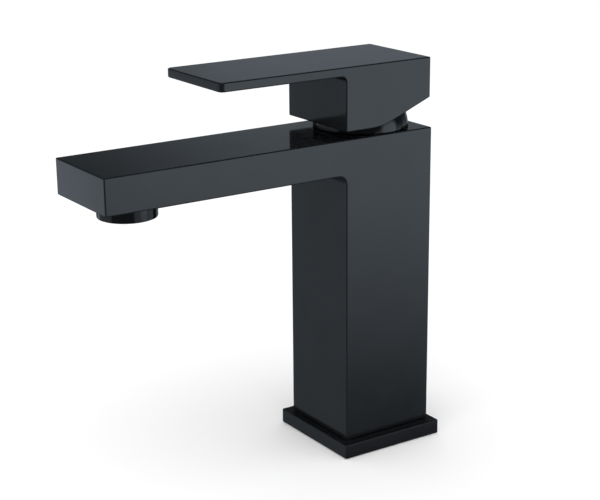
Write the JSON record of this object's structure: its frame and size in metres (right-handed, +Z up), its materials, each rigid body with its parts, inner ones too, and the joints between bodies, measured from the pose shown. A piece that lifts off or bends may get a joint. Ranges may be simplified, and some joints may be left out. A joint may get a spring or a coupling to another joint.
{
  "type": "single-lever basin mixer tap",
  "caption": "Basin mixer tap with a square column, a flat square spout, a flat plate lever over a domed cap, and a small aerator under the tip.",
  "frame": {"origin": "centre line of the column at the deck, on the underside of the body's foot", "axes": "+Z up the column, -Y along the spout, +X across the tap, to the right of a person who faces the spout"},
  "size_m": [0.0506, 0.1573, 0.1695],
  "materials": {
    "coated_brass": "fine satin black coat over cast and turned brass",
    "coated_zinc": "fine satin black coat over die-cast zinc",
    "brass": "machined, uncoated",
    "steel": "plain stainless",
    "ceramic": "lapped alumina",
    "white_plastic": "moulded acetal",
    "grey_plastic": "moulded acetal",
    "red_plastic": "moulded",
    "rubber": "matt"
  },
  "bodies": {
    "faucet": {"faucet_body": "coated_brass", "base_plate": "coated_brass", "base_gasket": "rubber", "cartridge_base": "white_plastic", "fixed_ceramic_disc": "ceramic", "cartridge_housing": "white_plastic", "housing_o_ring": "rubber", "hot_limit_ring": "red_plastic", "hot_port_seal": "rubber", "cold_port_seal": "rubber", "outlet_port_seal": "rubber", "hot_disc_seal": "rubber", "cold_disc_seal": "rubber", "outlet_disc_seal": "rubber", "retaining_nut": "brass", "cap_o_ring": "rubber", "domed_cap": "coated_brass", "aerator_housing": "coated_brass", "aerator_insert": "grey_plastic", "flow_regulator": "white_plastic", "aerator_screen": "steel", "aerator_washer": "rubber"},
    "spindle": {"spindle_carrier": "grey_plastic", "pivot_pin": "steel"},
    "lever": {"lever_handle": "coated_zinc", "handle_set_screw": "steel", "temperature_index": "red_plastic", "lever_stem": "brass"},
    "disc": {"moving_ceramic_disc": "ceramic", "disc_carrier": "grey_plastic"}
  },
  "joints": [
    {"name": "handle_turn", "type": "hinge", "parent": "faucet", "child": "spindle", "pos_m": [0, 0, 0.1385], "axis": [0, 0, 1], "range_deg": [-45, 45]},
    {"name": "handle_lift", "type": "hinge", "parent": "spindle", "child": "lever", "pos_m": [0, 0, 0.1385], "axis": [-1, 0, 0], "range_deg": [0, 22]},
    {"name": "disc_slide", "type": "slide", "parent": "spindle", "child": "disc", "axis": [0, -1, 0], "range_m": [0, 0.0046]}
  ],
  "couplings": [
    {"joint": "disc_slide", "follows": "handle_lift", "m_per_rad": 0.01143}
  ]
}
